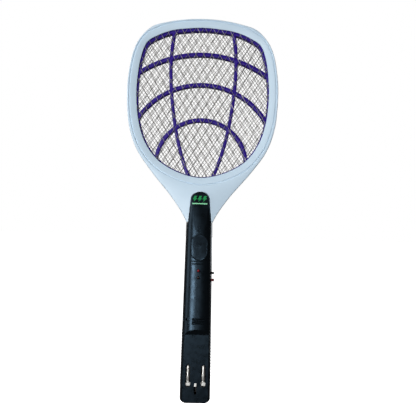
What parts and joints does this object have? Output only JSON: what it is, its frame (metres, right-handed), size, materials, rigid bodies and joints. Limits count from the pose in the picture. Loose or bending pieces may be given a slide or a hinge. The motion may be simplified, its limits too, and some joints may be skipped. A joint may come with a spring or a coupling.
{
  "type": "electric fly swatter",
  "caption": "Racket-shaped electric fly swatter: a pale frame with crossed steel nets and curved violet spacers on a black rechargeable handle with a fold-out plug.",
  "frame": {"origin": "middle of the grip, on the handle's centre line, where the hand closes", "axes": "+Z along the handle towards the head, the front (button, plug face) towards -Y, +X to the right seen from the front"},
  "size_m": [0.1902, 0.0325, 0.4799],
  "materials": {
    "battery_case": "moulded case",
    "board": "glass-fibre board with solder mask",
    "button_plastic": "matt black",
    "contact_brass": "spring brass",
    "dark_component": "moulded epoxy or ferrite",
    "dark_lens": "tinted lamp lens, unlit",
    "foam": "closed-cell foam",
    "frame_plastic": "satin moulded ABS, pale blue",
    "handle_plastic": "fine satin black ABS",
    "lead_black": "PVC insulation",
    "lead_red": "PVC insulation",
    "net_steel": "drawn steel wire, dull",
    "pin_metal": "nickel plated brass",
    "red_component": "dipped epoxy",
    "red_lens": "tinted lamp lens",
    "red_plastic": "dark red",
    "screw_steel": "zinc plated",
    "spacer_plastic": "deep blue-violet moulded plastic",
    "switch_metal": "stamped can",
    "tan_component": "lacquered ceramic",
    "white_plastic": "white nylon",
    "yellow_component": "wrapped in tape"
  },
  "bodies": {
    "root": {"battery": "battery_case", "battery_lead_black": "lead_black", "battery_lead_red": "lead_red", "battery_pad": "foam", "bleed_resistor": "tan_component", "board_screw_1": "screw_steel", "board_screw_2": "screw_steel", "charge_lead_black": "lead_black", "charge_lead_red": "lead_red", "charge_led": "dark_lens", "charger_board": "board", "charger_capacitor": "yellow_component", "charger_resistor": "tan_component", "circuit_board": "board", "doubler_capacitor": "red_component", "front_frame": "frame_plastic", "front_net": "net_steel", "front_spacer": "spacer_plastic", "handle_front": "handle_plastic", "handle_rear": "handle_plastic", "handle_screw_1": "screw_steel", "handle_screw_2": "screw_steel", "handle_screw_3": "screw_steel", "handle_screw_4": "screw_steel", "head_screw_1": "screw_steel", "head_screw_2": "screw_steel", "head_screw_3": "screw_steel", "head_screw_4": "screw_steel", "head_screw_5": "screw_steel", "head_screw_6": "screw_steel", "head_screw_7": "screw_steel", "head_screw_8": "screw_steel", "inner_net_lead": "lead_black", "lamp_switch_body": "switch_metal", "middle_net": "net_steel", "outer_net_lead": "lead_red", "plug_contact_left": "contact_brass", "plug_contact_right": "contact_brass", "plug_retainer": "white_plastic", "power_led": "red_lens", "power_switch_body": "switch_metal", "rear_frame": "frame_plastic", "rear_net": "net_steel", "rear_spacer": "spacer_plastic", "rectifier": "dark_component", "retainer_screw_1": "screw_steel", "retainer_screw_2": "screw_steel", "storage_capacitor": "red_component", "tact_switch": "switch_metal", "transformer_core": "dark_component", "transformer_winding": "yellow_component", "transistor": "dark_component"},
    "button": {"push_button": "button_plastic", "switch_plunger": "button_plastic"},
    "power_knob": {"power_switch_knob": "button_plastic"},
    "lamp_knob": {"lamp_switch_knob": "red_plastic"},
    "plug": {"plug_carrier": "white_plastic", "plug_pin_left": "pin_metal", "plug_pin_right": "pin_metal"}
  },
  "joints": [
    {"name": "button_press", "type": "slide", "parent": "root", "child": "button", "axis": [0, 1, 0], "range_m": [0, 0.0012], "stiffness_N_per_m": 1200, "springref_m": -0.0005},
    {"name": "power_switch_slide", "type": "slide", "parent": "root", "child": "power_knob", "axis": [0, 0, 1], "range_m": [0, 0.002]},
    {"name": "lamp_switch_slide", "type": "slide", "parent": "root", "child": "lamp_knob", "axis": [0, 0, 1], "range_m": [0, 0.002]},
    {"name": "plug_fold", "type": "hinge", "parent": "root", "child": "plug", "pos_m": [0, -0.0067, -0.1073], "axis": [1, 0, 0], "range_deg": [0, 90]}
  ]
}
